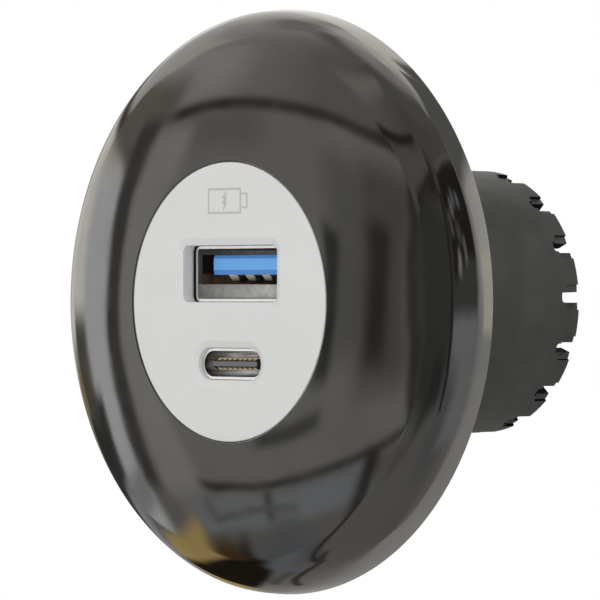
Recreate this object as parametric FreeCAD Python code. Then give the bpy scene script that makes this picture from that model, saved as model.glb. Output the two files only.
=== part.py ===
import FreeCAD, Part
import math
import os

# Panel-mount charging socket with a domed trim ring, one wide and one narrow port.
# All sizes are millimetres. The axis is Y: the face looks towards -Y, Y = 0 is the
# front of the panel that the socket is fitted in, and the barrel runs back to +Y.

V = FreeCAD.Vector
FORWARD = V(0, -1, 0)
BACKWARD = V(0, 1, 0)

# Trim ring
bezel_radius = 30.0
bezel_height = 7.6
bezel_wall = 1.5
edge_height = 1.7
edge_lean = 0.2
crown_slope = 5.0
crown_radius = 55.0
shoulder_radius = 6.0
collar_wall = 1.4
bezel_screw_count = 4
bezel_boss_radius = 2.4

# Fascia disc
fascia_overhang = 0.2
fascia_thickness = 2.2
fascia_edge = 0.15
fascia_spigot_depth = 0.8
fascia_spigot_wall = 0.7

# Barrel and its flange
barrel_radius = 14.0
barrel_wall = 1.7
barrel_length = 30.0
barrel_root_step = 0.4
barrel_lip_width = 0.9
barrel_lip_depth = 1.0
flange_thickness = 2.0
gasket_thickness = 0.9
flange_rim_gap = 0.7
neck_gap = 0.35

# Rear rim of the barrel, with its row of slots
slot_count = 16
slot_turn = 2.0
slot_width = 1.1
slot_depth = 2.45
pocket_width = 2.65
pocket_depth = 1.9
pocket_sink = 0.5
finger_drop = 0.4

# Wide port
port_a_z = 2.87
shell_a_width = 13.14
shell_a_height = 5.72
shell_a_wall = 0.31
shell_a_corner = 0.6
shell_a_sink = 1.75
mouth_a_gap_side = 0.38
mouth_a_gap_top = 0.03
mouth_a_corner = 0.75
tongue_a_width = 11.1
tongue_a_thickness = 2.0
tongue_a_rise = 0.91
tongue_a_sink = 3.32
tongue_a_length = 9.9
insulator_a_length = 1.88
cheek_thickness = 0.2
cheek_rise = 1.5
cheek_sink = 0.65
cheek_drop = 0.57
tongue_a_bevel = 0.35
tongue_a_chin = 0.5
tongue_a_bevel_depth = 0.12
tongue_a_lip = 0.35

# Sprung contacts of the wide port
contact_outer_x = 3.66
contact_inner_x = 1.22
contact_width = 1.0
contact_thickness = 0.2
contact_bump = 0.95
contact_bend = 0.45
contact_level = 0.3
contact_swing = 4.0
contact_tip_rise = 0.1
contact_tip_room = 0.15
contact_tip_length = 1.2
contact_ramp_length = 2.3
contact_gap = 0.06
groove_width = 1.3
pivot_setback = 0.6
leg_width = 0.6
leg_stick_out = 0.7
tab_width = 1.6
tab_c_width = 1.0

# Narrow port
port_c_z = -6.3
shell_c_width = 9.1
shell_c_height = 3.2
shell_c_wall = 0.3
shell_c_sink = 0.8
pedestal_c_length = 3.8
mouth_c_gap = 0.04
tongue_c_width = 6.45
tongue_c_thickness = 1.1
tongue_c_tip = 0.5
tongue_c_bevel = 0.5
tongue_c_sink = 0.3
tongue_c_length = 7.6
contact_c_count = 8
contact_c_spacing = 0.74
contact_c_width = 0.38
contact_c_thickness = 0.06
contact_c_length = 3.4

mouth_bevel = 0.72
mouth_bevel_depth = 0.32
mouth_relief = 0.4
mouth_relief_depth = 0.55

# Carrier, boards and their hardware
carrier_plate = 2.0
carrier_sleeve = 1.2
board_gap = 0.3
board_thickness = 1.2
rear_room = 4.7
standoff_inset = 2.4
standoff_flats = 3.5
stud_radius = 0.85
stud_length = 5.0
carrier_boss_radius = 2.0
screw_head_radius = 1.8
screw_head_height = 1.2
screw_shank = 4.0
drive_width = 0.4
header_inset = 2.7
header_pins = 4
header_spacing = 2.0
header_strip_height = 2.5
pin_size = 0.5

# Parts on the boards
inductor_side = 7.3
inductor_height = 4.8
inductor_place = (-3.9, -4.9)
input_can_radius = 3.15
input_can_height = 7.0
input_can_place = (4.4, -5.4)
output_can_radius = 2.5
output_can_height = 5.8
output_can_place = (5.2, 4.4)
can_foot_height = 0.8
can_foot_rim = 0.1
chip_side = 4.0
chip_height = 0.9
controller_width = 3.9
controller_length = 4.0
controller_height = 1.5
controller_inset = 4.8
controller_z = -0.1
transistor_width = 3.3
transistor_length = 3.3
transistor_height = 1.0
transistor_inset = 4.4
transistor_z = 5.0
fuse_width = 4.5
fuse_length = 3.2
fuse_height = 1.6
fuse_inset = 4.4
lead_thickness = 0.2
lead_width = 0.4

# Rear cover and blade terminals
cover_recess = 2.6
cover_thickness = 2.0
snap_height = 0.15
snap_width = 0.6
blade_x = 4.0
blade_width = 6.3
blade_thickness = 0.8
blade_reach = 7.8
blade_hole_radius = 0.85
blade_leg_width = 1.4

# Clearances
slip = 0.05
fit_gap = 0.1
hole_gap = 0.25

# Planes along the axis, worked out from the sizes above
face_y = -bezel_height
fascia_back_y = face_y + fascia_thickness
flange_back_y = -gasket_thickness
flange_front_y = flange_back_y - flange_thickness
fascia_radius = barrel_radius + fascia_overhang
barrel_bore = barrel_radius - barrel_wall
board_radius = barrel_bore - board_gap
standoff_x = board_radius - standoff_inset
header_z = board_radius - header_inset
controller_x = standoff_x - controller_inset
transistor_x = board_radius - transistor_inset
fuse_z = board_radius - fuse_inset
bezel_bore = fascia_radius + slip
carrier_front_y = fascia_back_y + barrel_lip_depth
neck_radius = bezel_bore - neck_gap
carrier_back_y = carrier_front_y + carrier_plate
shell_a_y = face_y + shell_a_sink
tongue_a_y = face_y + tongue_a_sink
insulator_y = tongue_a_y + tongue_a_length
port_board_y = insulator_y + insulator_a_length
port_board_back_y = port_board_y + board_thickness
cover_back_y = barrel_length - cover_recess
cover_front_y = cover_back_y - cover_thickness
power_board_back_y = cover_front_y - rear_room
power_board_y = power_board_back_y - board_thickness
board_spacing = power_board_y - port_board_back_y
tab_end_y = port_board_back_y + leg_stick_out
tongue_a_z = port_a_z + tongue_a_rise
tongue_a_floor = tongue_a_z - tongue_a_thickness / 2
contact_spots = (-contact_outer_x, -contact_inner_x, contact_inner_x, contact_outer_x)
contact_z = tongue_a_floor + contact_level
pivot_y = insulator_y - pivot_setback
contact_tip_y = tongue_a_y + tongue_a_lip + contact_gap + contact_tip_room
contact_lift = (pivot_y - contact_tip_y) * math.sin(math.radians(contact_swing))
groove_depth = contact_level + contact_tip_rise + contact_thickness + contact_lift + contact_tip_room
mouth_a_width = shell_a_width + 2 * mouth_a_gap_side
mouth_a_height = shell_a_height + 2 * mouth_a_gap_top
mouth_c_width = shell_c_width + 2 * mouth_c_gap
mouth_c_height = shell_c_height + 2 * mouth_c_gap
shell_c_y = face_y + shell_c_sink
tongue_c_y = shell_c_y + tongue_c_sink
body_c_y = tongue_c_y + tongue_c_length
shell_c_back_y = port_board_y - pedestal_c_length


def tube(outer, inner, front, back):
    """A ring or disc round the axis."""
    shape = Part.makeCylinder(outer, back - front, V(0, front, 0), BACKWARD)
    if inner > 0:
        shape = shape.cut(Part.makeCylinder(inner, back - front, V(0, front, 0), BACKWARD))
    return shape


def post(radius, front, back, x, z):
    """A round bar along the axis, off centre."""
    return Part.makeCylinder(radius, back - front, V(x, front, z), BACKWARD)


def cone(front_radius, back_radius, front, back, x, z):
    return Part.makeCone(front_radius, back_radius, back - front, V(x, front, z), BACKWARD)


def block(width, height, front, back, x=0.0, z=0.0):
    """A box: width along X, height along Z."""
    corner = V(x - width / 2, front, z - height / 2)
    return Part.makeBox(width, back - front, height, corner)


def outline(width, height, radius, y, x=0.0, z=0.0):
    """A rounded rectangle or a stadium, as a wire square to the axis."""
    edges = []
    reach_x = width / 2 - radius
    reach_z = height / 2 - radius
    previous = None
    first = None
    for quarter, (side_x, side_z) in enumerate(((1, 1), (-1, 1), (-1, -1), (1, -1))):
        centre = V(x + side_x * reach_x, y, z + side_z * reach_z)
        turns = [math.radians(90 * quarter + step) for step in (0, 45, 90)]
        points = [centre + V(radius * math.cos(t), 0, radius * math.sin(t)) for t in turns]
        if previous is not None and previous.distanceToPoint(points[0]) > 1e-6:
            edges.append(Part.makeLine(previous, points[0]))
        edges.append(Part.Arc(*points).toShape())
        first = first or points[0]
        previous = points[2]
    if previous.distanceToPoint(first) > 1e-6:
        edges.append(Part.makeLine(previous, first))
    return Part.Wire(edges)


def rounded(width, height, radius, front, back, x=0.0, z=0.0):
    """A bar along the axis with a rounded rectangle or a stadium as its section."""
    face = Part.Face(outline(width, height, radius, front, x, z))
    return face.extrude(V(0, back - front, 0))


def mouth(width, height, radius, z):
    """What is cut from the fascia for a port: the hole, its bevelled lip and a relief behind."""
    hole = rounded(width, height, radius, face_y - 1, fascia_back_y + 1, 0, z)
    over = mouth_bevel / 3
    wide = outline(width + 2 * (mouth_bevel + over), height + 2 * (mouth_bevel + over),
                   radius + mouth_bevel + over, face_y - mouth_bevel_depth / 3, 0, z)
    narrow = outline(width, height, radius, face_y + mouth_bevel_depth, 0, z)
    relief = rounded(width + 2 * mouth_relief, height + 2 * mouth_relief, radius + mouth_relief,
                     fascia_back_y - mouth_relief_depth, fascia_back_y + 1, 0, z)
    return hole.fuse([Part.makeLoft([wide, narrow], True, True), relief])


def around(count, turn, shape):
    """Copies of a shape, evenly spaced round the axis."""
    copies = []
    for index in range(count):
        copy = shape.copy()
        copy.rotate(V(0, 0, 0), FORWARD, turn + 360.0 * index / count)
        copies.append(copy)
    return copies


def joined(shapes):
    """One solid from touching shapes, with leftover seams removed."""
    return shapes[0].fuse(shapes[1:]).removeSplitter()


def bent_strip(points, thickness, width, bend, x):
    """A strip of sheet metal along (y, z) points, bent round the corners."""
    path = [V(0, y, z) for y, z in points]
    tangents = [(b - a).normalize() for a, b in zip(path, path[1:])]
    normals = [V(0, -t.z, t.y) for t in tangents]
    edges = []
    ends = []
    for offset in (thickness / 2, -thickness / 2):
        here = path[0] + normals[0] * offset
        ends.append(here)
        for index in range(1, len(path) - 1):
            into, out = tangents[index - 1], tangents[index]
            turn = math.atan2(into.cross(out).x, into.dot(out))
            side = math.copysign(1, turn)
            reach = bend * math.tan(abs(turn) / 2)
            enter = path[index] - into * reach
            leave = path[index] + out * reach
            centre = enter + normals[index - 1] * (bend * side)
            middle = centre + (path[index] - centre).normalize() * (bend - offset * side)
            start = enter + normals[index - 1] * offset
            stop = leave + normals[index] * offset
            edges.append(Part.makeLine(here, start))
            edges.append(Part.Arc(start, middle, stop).toShape())
            here = stop
        last = path[-1] + normals[-1] * offset
        edges.append(Part.makeLine(here, last))
        ends.append(last)
    edges.append(Part.makeLine(ends[0], ends[2]))
    edges.append(Part.makeLine(ends[1], ends[3]))
    face = Part.Face(Part.Wire(Part.__sortEdges__(edges)))
    strip = face.extrude(V(width, 0, 0))
    strip.translate(V(x - width / 2, 0, 0))
    return strip


def dome_points(inset):
    """Crown and shoulder arcs of the trim ring's section, moved inwards by a wall.

    Radius from the axis is held in x, height in front of the panel in y."""
    slope = math.radians(crown_slope)
    lip = V(bezel_bore, bezel_height, 0)
    crown_centre = lip - V(math.sin(slope), math.cos(slope), 0) * crown_radius
    crease = V(bezel_radius - edge_lean, edge_height, 0)
    # The shoulder's centre is where two circles cross, so that both arcs share a tangent.
    near = crown_radius - shoulder_radius
    span = crease - crown_centre
    along = (span.Length ** 2 + near ** 2 - shoulder_radius ** 2) / (2 * span.Length)
    aside = math.sqrt(near ** 2 - along ** 2)
    direction = V(span).normalize()
    shoulder_centre = crown_centre + direction * along + V(-direction.y, direction.x, 0) * aside
    meeting = V(shoulder_centre - crown_centre).normalize()

    def on_arc(centre, radius, first, second, share):
        start = math.atan2(first.y, first.x)
        stop = math.atan2(second.y, second.x)
        angle = start + (stop - start) * share
        return centre + V(math.cos(angle), math.sin(angle), 0) * radius

    up = V(math.sin(slope), math.cos(slope), 0)
    out = V(crease - shoulder_centre).normalize()
    crown = [on_arc(crown_centre, crown_radius - inset, up, meeting, s) for s in (0, 0.5, 1)]
    shoulder = [on_arc(shoulder_centre, shoulder_radius - inset, meeting, out, s)
                for s in (0, 0.5, 1)]
    return crown, shoulder


def dome(inset, rim):
    """The trim ring's filled form, from the axis to the given radius at the panel."""
    crown, shoulder = dome_points(inset)
    corners = [V(rim, 0, 0), V(0, 0, 0), V(0, crown[0].y, 0)]
    edges = [Part.Arc(*crown).toShape(), Part.Arc(*shoulder).toShape()]
    edges.append(Part.makeLine(shoulder[2], corners[0]))
    edges.append(Part.makeLine(corners[0], corners[1]))
    edges.append(Part.makeLine(corners[1], corners[2]))
    edges.append(Part.makeLine(corners[2], crown[0]))
    face = Part.Face(Part.Wire(Part.__sortEdges__(edges)))
    solid = face.revolve(V(0, 0, 0), V(0, 1, 0), 360)
    # The section was drawn with its height along +Y, and the ring's crown faces -Y.
    solid.rotate(V(0, 0, 0), V(1, 0, 0), 180)
    return solid


def inner_reach(height):
    """Radius at which the trim ring's inner surface comes down to a height."""
    crown, shoulder = dome_points(bezel_wall)
    circle = Part.Arc(*(crown if height > crown[2].y else shoulder)).toShape().Curve
    rise = height - circle.Center.y
    return circle.Center.x + math.sqrt(circle.Radius ** 2 - rise ** 2)


flange_radius = inner_reach(-flange_front_y) - flange_rim_gap
bezel_screw_circle = (bezel_bore + flange_radius) / 2


def bezel_screw_places():
    places = []
    for index in range(bezel_screw_count):
        angle = math.radians(45 + 360.0 * index / bezel_screw_count)
        places.append((bezel_screw_circle * math.cos(angle), bezel_screw_circle * math.sin(angle)))
    return places


def make_bezel():
    """Plated trim ring: a domed shell, the collar round the fascia and its screw bosses."""
    form = dome(0, bezel_radius)
    shell = form.cut(dome(bezel_wall, bezel_radius - bezel_wall))
    collar = tube(bezel_bore + collar_wall, bezel_bore, face_y, flange_front_y).common(form)
    pieces = [shell, collar]
    for x, z in bezel_screw_places():
        pieces.append(post(bezel_boss_radius, face_y, flange_front_y, x, z).common(form))
    ring = joined(pieces)
    ring = ring.cut(tube(bezel_bore, 0, face_y - 1, 1))
    pilot_y = flange_front_y - (screw_shank - flange_thickness)
    for x, z in bezel_screw_places():
        ring = ring.cut(post(stud_radius, pilot_y, flange_front_y + 1, x, z))
    return ring


def make_bezel_screws():
    """Countersunk screws through the flange into the trim ring."""
    screws = []
    for x, z in bezel_screw_places():
        tip_y = flange_back_y - screw_shank
        head = cone(stud_radius, screw_head_radius, flange_back_y - screw_head_height,
                    flange_back_y, x, z)
        shank = post(stud_radius, tip_y + slip, flange_back_y - screw_head_height, x, z)
        drive_y = flange_back_y - screw_head_height * 0.4
        slot = block(screw_head_radius * 2, drive_width, drive_y, flange_back_y + 1, x, z)
        cross = block(drive_width, screw_head_radius * 2, drive_y, flange_back_y + 1, x, z)
        drive = slot.fuse(cross).common(post(screw_head_radius * 0.6, tip_y, 1, x, z))
        screws.append(joined([head, shank]).cut(drive))
    return screws


def make_gasket():
    """Foam ring between the flange and the panel."""
    inner = barrel_radius + barrel_root_step + slip
    return tube(flange_radius, inner, flange_back_y, 0)


def make_barrel():
    """Moulded barrel: neck under the fascia, flange, and the slotted rear rim."""
    neck = tube(neck_radius, 0, fascia_back_y, flange_front_y)
    body = tube(barrel_radius, 0, flange_front_y, barrel_length)
    flange = tube(flange_radius, 0, flange_front_y, flange_back_y)
    root = tube(barrel_radius + barrel_root_step, 0, flange_back_y, 0)
    barrel = joined([body, neck, flange, root])
    barrel = barrel.cut(tube(barrel_bore, 0, carrier_front_y, barrel_length + 1))
    barrel = barrel.cut(tube(barrel_bore - barrel_lip_width, 0, fascia_back_y - 1, carrier_front_y + 1))
    for x, z in bezel_screw_places():
        hole = post(stud_radius + slip, flange_front_y - 1, flange_back_y + 1, x, z)
        seat = cone(stud_radius + slip, screw_head_radius + slip,
                    flange_back_y - screw_head_height, flange_back_y, x, z)
        barrel = barrel.cut(hole.fuse(seat))
    snap_y = (cover_front_y + cover_back_y) / 2
    groove = tube(barrel_bore + snap_height + slip, barrel_bore - 1,
                  snap_y - snap_width / 2 - slip, snap_y + snap_width / 2 + slip)
    barrel = barrel.cut(groove)
    end_radius = slot_width / 2 * 0.6
    slot = slot_cutter(slot_width, slot_depth, barrel_bore - 1, end_radius)
    recess = slot_cutter(pocket_width, pocket_depth, barrel_radius - pocket_sink, end_radius)
    notch = slot_cutter(pocket_width, finger_drop, barrel_bore - 1, 0)
    for cutter in (slot, recess, notch):
        barrel = barrel.cut(around(slot_count, slot_turn, cutter))
    return barrel


def slot_cutter(width, depth, inner, corner):
    """A notch open at the rear rim, from a radius outwards, on the +X side."""
    start = V(inner, barrel_length - depth, -width / 2)
    cutter = Part.makeBox(barrel_radius + 2 - inner, depth + 1, width, start)
    if corner > 0:
        blind = []
        for edge in cutter.Edges:
            ends = [vertex.Point.y for vertex in edge.Vertexes]
            along_x = abs(edge.tangentAt(edge.FirstParameter).x) > 0.9
            if along_x and max(ends) < barrel_length - depth + 0.001:
                blind.append(edge)
        cutter = cutter.makeFillet(corner, blind)
    return cutter


def make_fascia():
    """Moulded face disc, with a bevelled mouth for each port and a locating spigot."""
    disc = tube(fascia_radius, 0, face_y, fascia_back_y)
    rim = [e for e in disc.Edges if len(e.Vertexes) == 1 and abs(e.Vertexes[0].Y - face_y) < 1e-6]
    disc = disc.makeFillet(fascia_edge, rim)
    spigot_radius = barrel_bore - barrel_lip_width - slip
    spigot = tube(spigot_radius, spigot_radius - fascia_spigot_wall, fascia_back_y,
                  fascia_back_y + fascia_spigot_depth)
    fascia = joined([disc, spigot])
    fascia = fascia.cut(mouth(mouth_a_width, mouth_a_height, mouth_a_corner, port_a_z))
    return fascia.cut(mouth(mouth_c_width, mouth_c_height, mouth_c_height / 2, port_c_z))


def make_carrier():
    """Inner frame: holds both ports square to the face and carries the port board."""
    outer = barrel_bore - fit_gap
    plate = tube(outer, 0, carrier_front_y, carrier_back_y)
    sleeve = tube(outer, outer - carrier_sleeve, carrier_back_y, port_board_y)
    bosses = []
    for x in (-standoff_x, standoff_x):
        boss = post(carrier_boss_radius, carrier_back_y, port_board_y, x, 0)
        bosses.append(boss.common(tube(outer, 0, carrier_front_y, port_board_y)))
    carrier = joined([plate, sleeve] + bosses)
    window_a = rounded(shell_a_width + 2 * fit_gap, shell_a_height + 2 * fit_gap,
                       shell_a_corner + fit_gap, carrier_front_y - 1, port_board_y + 1,
                       0, port_a_z)
    height_c = shell_c_height + 2 * fit_gap
    window_c = rounded(shell_c_width + 2 * fit_gap, height_c, height_c / 2,
                       carrier_front_y - 1, port_board_y + 1, 0, port_c_z)
    carrier = carrier.cut([window_a, window_c])
    for x in (-standoff_x, standoff_x):
        carrier = carrier.cut(post(stud_radius, port_board_y - stud_length, port_board_y + 1, x, 0))
    return carrier


def make_shell_a():
    """Steel shell of the wide port, with two tabs through the port board."""
    outer = rounded(shell_a_width, shell_a_height, shell_a_corner, shell_a_y, port_board_y,
                    0, port_a_z)
    inner = rounded(shell_a_width - 2 * shell_a_wall, shell_a_height - 2 * shell_a_wall,
                    shell_a_corner - shell_a_wall, shell_a_y - 1, port_board_y + 1, 0, port_a_z)
    pieces = [outer.cut(inner)]
    for x in shell_a_tab_places():
        pieces.append(block(shell_a_wall, tab_width, port_board_y - 1, tab_end_y, x, port_a_z))
    return joined(pieces)


def shell_a_tab_places():
    x = (shell_a_width - shell_a_wall) / 2
    return (-x, x)


def shell_c_tab_places():
    x = (shell_c_width - shell_c_wall) / 2 - slip
    return (-x, x)


def make_insulator_a():
    """Black moulded block in the rear of the wide port's shell, with a cheek up each side."""
    width = shell_a_width - 2 * shell_a_wall
    height = shell_a_height - 2 * shell_a_wall
    body = rounded(width, height, shell_a_corner - shell_a_wall, insulator_y, port_board_y,
                   0, port_a_z)
    cheek_y = shell_a_y + cheek_sink
    lining = rounded(width, height, shell_a_corner - shell_a_wall, cheek_y, insulator_y, 0, port_a_z)
    room = block(width - 2 * cheek_thickness, height, cheek_y - 1, insulator_y, 0, port_a_z)
    below = block(width + 1, height, cheek_y - 1, insulator_y, 0,
                  port_a_z - height + cheek_rise)
    above = block(width + 1, height, cheek_y - 1, insulator_y, 0,
                  port_a_z + height - cheek_drop)
    body = joined([body, lining.cut(room.fuse([below, above]))])
    for x in contact_spots:
        body = body.cut(block(leg_width, contact_thickness, insulator_y - 1, port_board_y + 1,
                              x, contact_z))
    return body


def make_tongue_a():
    """Blue tongue of the wide port, grooved for the sprung contacts."""
    half = tongue_a_thickness / 2
    bevel_y = tongue_a_y + tongue_a_bevel_depth
    corners = [(tongue_a_y, half - tongue_a_bevel), (bevel_y, half), (insulator_y, half),
               (insulator_y, -half), (bevel_y, -half), (tongue_a_y, tongue_a_chin - half)]
    points = [V(-tongue_a_width / 2, y, tongue_a_z + z) for y, z in corners]
    tongue = Part.Face(Part.makePolygon(points + [points[0]])).extrude(V(tongue_a_width, 0, 0))
    for x in contact_spots:
        groove_z = tongue_a_floor + groove_depth / 2 - 0.5
        tongue = tongue.cut(block(groove_width, groove_depth + 1, tongue_a_y + tongue_a_lip,
                                  insulator_y + 1, x, groove_z))
    return tongue


def make_contacts_a():
    """Sprung contact beams, each standing below the tongue with a rounded bump."""
    bump_y = contact_tip_y + contact_tip_length
    knee_y = bump_y + contact_ramp_length
    bump_z = tongue_a_floor - contact_bump + contact_thickness / 2
    path = [(pivot_y - contact_gap, contact_z), (knee_y, contact_z),
            (bump_y, bump_z), (contact_tip_y, contact_z + contact_tip_rise)]
    return [bent_strip(path, contact_thickness, contact_width, contact_bend, x)
            for x in contact_spots]


def make_legs_a():
    """Fixed legs behind the sprung beams, through the insulator and the port board."""
    return [block(leg_width, contact_thickness, pivot_y + contact_gap,
                  port_board_back_y + leg_stick_out, x, contact_z) for x in contact_spots]


def make_shell_c():
    """Steel shell of the narrow port, with two tabs that reach the port board."""
    inner_height = shell_c_height - 2 * shell_c_wall
    outer = rounded(shell_c_width, shell_c_height, shell_c_height / 2, shell_c_y,
                    shell_c_back_y, 0, port_c_z)
    inner = rounded(shell_c_width - 2 * shell_c_wall, inner_height, inner_height / 2,
                    shell_c_y - 1, shell_c_back_y + 1, 0, port_c_z)
    pieces = [outer.cut(inner)]
    for x in shell_c_tab_places():
        tab = block(shell_c_wall, tab_c_width, shell_c_back_y - 1, tab_end_y, x, port_c_z)
        pieces.append(tab.cut(rounded(shell_c_width - 2 * shell_c_wall, inner_height, inner_height / 2,
                                      shell_c_back_y - 2, tab_end_y + 1, 0, port_c_z)))
    return joined(pieces)


def make_body_c():
    """Moulded body of the narrow port, from the tongue's root back to the port board."""
    inner_height = shell_c_height - 2 * shell_c_wall
    return rounded(shell_c_width - 2 * shell_c_wall, inner_height, inner_height / 2,
                   body_c_y, port_board_y, 0, port_c_z)


def make_tongue_c():
    """Tongue of the narrow port: thin at its tip, with a bevel above and below."""
    half_tip = tongue_c_tip / 2
    half = tongue_c_thickness / 2
    bevel_y = tongue_c_y + tongue_c_bevel
    corners = [(tongue_c_y, half_tip), (bevel_y, half), (body_c_y, half),
               (body_c_y, -half), (bevel_y, -half), (tongue_c_y, -half_tip)]
    points = [V(-tongue_c_width / 2, y, port_c_z + z) for y, z in corners]
    face = Part.Face(Part.makePolygon(points + points[:1]))
    return face.extrude(V(tongue_c_width, 0, 0))


def make_contacts_c(side):
    """A row of gold strips that follow the bevel and one face of the narrow port's tongue."""
    half_tip = tongue_c_tip / 2
    half = tongue_c_thickness / 2
    bevel_y = tongue_c_y + tongue_c_bevel
    slope = math.hypot(tongue_c_bevel, half - half_tip) / tongue_c_bevel
    end_y = tongue_c_y + contact_c_length
    section = [(tongue_c_y, half_tip), (bevel_y, half), (end_y, half),
               (end_y, half + contact_c_thickness), (bevel_y, half + contact_c_thickness),
               (tongue_c_y, half_tip + contact_c_thickness * slope)]
    strips = []
    for index in range(contact_c_count):
        left = (index - (contact_c_count - 1) / 2) * contact_c_spacing - contact_c_width / 2
        points = [V(left, y, port_c_z + side * z) for y, z in section]
        face = Part.Face(Part.makePolygon(points + points[:1]))
        strips.append(face.extrude(V(contact_c_width, 0, 0)))
    return strips


def make_port_board():
    """Round circuit board that both ports stand on."""
    board = tube(board_radius, 0, port_board_y, port_board_back_y)
    holes = []
    for x in (-standoff_x, standoff_x):
        holes.append(post(stud_radius + hole_gap, port_board_y - 1, port_board_back_y + 1, x, 0))
    leg_hole = math.hypot(leg_width, contact_thickness) / 2 + fit_gap
    for x in contact_spots:
        holes.append(post(leg_hole, port_board_y - 1, port_board_back_y + 1, x, contact_z))
    for x in shell_a_tab_places():
        holes.append(block(shell_a_wall + 2 * fit_gap, tab_width + 2 * fit_gap,
                           port_board_y - 1, port_board_back_y + 1, x, port_a_z))
    for x in shell_c_tab_places():
        holes.append(block(shell_c_wall + 2 * fit_gap, tab_c_width + 2 * fit_gap,
                           port_board_y - 1, port_board_back_y + 1, x, port_c_z))
    return board.cut(holes)


def make_standoffs():
    """Brass spacers between the boards, with a stud into the carrier."""
    spacers = []
    for x in (-standoff_x, standoff_x):
        corner = standoff_flats / math.sqrt(3)
        ring = [V(x + corner * math.cos(math.radians(30 + 60 * k)), port_board_back_y,
                  corner * math.sin(math.radians(30 + 60 * k))) for k in range(7)]
        hexagon = Part.Face(Part.makePolygon(ring)).extrude(V(0, board_spacing, 0))
        stud = post(stud_radius, port_board_y - stud_length + slip, port_board_back_y, x, 0)
        spacer = joined([hexagon, stud])
        bore_y = power_board_back_y - screw_shank
        spacers.append(spacer.cut(post(stud_radius, bore_y, power_board_y + 1, x, 0)))
    return spacers


def make_board_screws():
    """Pan-head screws that hold the power board on the spacers."""
    screws = []
    for x in (-standoff_x, standoff_x):
        head = post(screw_head_radius, power_board_back_y,
                    power_board_back_y + screw_head_height, x, 0)
        edge = [e for e in head.Edges if len(e.Vertexes) == 1
                and abs(e.Vertexes[0].Y - power_board_back_y - screw_head_height) < 1e-6]
        head = head.makeFillet(screw_head_height * 0.4, edge)
        shank = post(stud_radius, power_board_back_y - screw_shank + slip, power_board_back_y, x, 0)
        drive_y = power_board_back_y + screw_head_height * 0.5
        slot = block(screw_head_radius * 1.2, drive_width, drive_y, drive_y + 2, x, 0)
        cross = block(drive_width, screw_head_radius * 1.2, drive_y, drive_y + 2, x, 0)
        screws.append(joined([head, shank]).cut(slot.fuse(cross)))
    return screws


def header_places():
    return [(index - (header_pins - 1) / 2) * header_spacing for index in range(header_pins)]


def make_link_header():
    """Two moulded strips that hold the pins square between the boards."""
    width = header_pins * header_spacing
    strips = []
    for front in (port_board_back_y, power_board_y - header_strip_height):
        strip = block(width, header_spacing, front, front + header_strip_height, 0, header_z)
        for x in header_places():
            strip = strip.cut(block(pin_size, pin_size, front - 1,
                                    front + header_strip_height + 1, x, header_z))
        strips.append(strip)
    return strips


def make_link_pins():
    """Square pins that join the two boards."""
    return [block(pin_size, pin_size, port_board_back_y, power_board_y, x, header_z)
            for x in header_places()]


def make_power_board():
    """Round circuit board with the voltage converter, behind the port board."""
    board = tube(board_radius, 0, power_board_y, power_board_back_y)
    holes = []
    for x in (-standoff_x, standoff_x):
        holes.append(post(stud_radius + hole_gap, power_board_y - 1, power_board_back_y + 1, x, 0))
    for x in (-blade_x, blade_x):
        for z in blade_leg_places():
            holes.append(block(blade_thickness + 2 * fit_gap, blade_leg_width + 2 * fit_gap,
                               power_board_y - 1, power_board_back_y + 1, x, z))
    return board.cut(holes)


def blade_leg_places():
    z = (blade_width - blade_leg_width) / 2 - 0.5
    return (-z, z)


def make_inductor():
    """Moulded power inductor, its corners cut off."""
    x, z = inductor_place
    front = power_board_y - inductor_height
    body = block(inductor_side, inductor_side, front, power_board_y - lead_thickness, x, z)
    upright = []
    for edge in body.Edges:
        if abs(edge.tangentAt(edge.FirstParameter).y) > 0.9:
            upright.append(edge)
    return body.makeChamfer(inductor_side * 0.12, upright)


def make_inductor_leads():
    x, z = inductor_place
    leads = []
    for side in (-1, 1):
        place = x + side * inductor_side * 0.32
        leads.append(block(inductor_side * 0.3, inductor_side * 0.5,
                           power_board_y - lead_thickness, power_board_y, place, z))
    return leads


def make_can(radius, height, x, z):
    """Electrolytic capacitor on a round foot, with the crimp near the foot."""
    foot_y = power_board_y - can_foot_height
    base = post(radius + can_foot_rim, foot_y, power_board_y, x, z)
    can = post(radius, power_board_y - height, foot_y, x, z)
    crimp_y = foot_y - 1.0
    crimp = post(radius + 1, crimp_y - 0.35, crimp_y + 0.35, x, z)
    crimp = crimp.cut(post(radius - 0.25, crimp_y - 1, crimp_y + 1, x, z))
    return joined([base, can.cut(crimp)])


def make_input_capacitor():
    return make_can(input_can_radius, input_can_height, *input_can_place)


def make_output_capacitors():
    x, z = output_can_place
    return [make_can(output_can_radius, output_can_height, side * x, z) for side in (-1, 1)]


def make_buck_controller():
    return block(chip_side, chip_side, power_board_y - chip_height, power_board_y,
                 0, output_can_place[1])


def make_chip(width, length, height, front, x, z):
    """A chip in a moulded case on gull-wing leads, standing on a board's rear face."""
    case = block(width, length, front + lead_thickness, front + height, x, z)
    pieces = [case]
    for index in range(4):
        lead_z = z + (index - 1.5) * length / 4
        for side in (-1, 1):
            foot_x = x + side * (width / 2 + lead_width)
            pieces.append(block(lead_width * 2, lead_width, front, front + lead_thickness * 2,
                                foot_x - side * lead_width * 0.5, lead_z))
    return joined(pieces)


def make_charge_controllers():
    return [make_chip(controller_width, controller_length, controller_height,
                      port_board_back_y, side * controller_x, controller_z) for side in (-1, 1)]


def make_power_transistors():
    shapes = []
    for side in (-1, 1):
        shapes.append(block(transistor_width, transistor_length, power_board_back_y,
                            power_board_back_y + transistor_height, side * transistor_x,
                            transistor_z))
    return shapes


def make_fuse():
    return block(fuse_width, fuse_length, power_board_back_y, power_board_back_y + fuse_height,
                 0, fuse_z)


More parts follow.
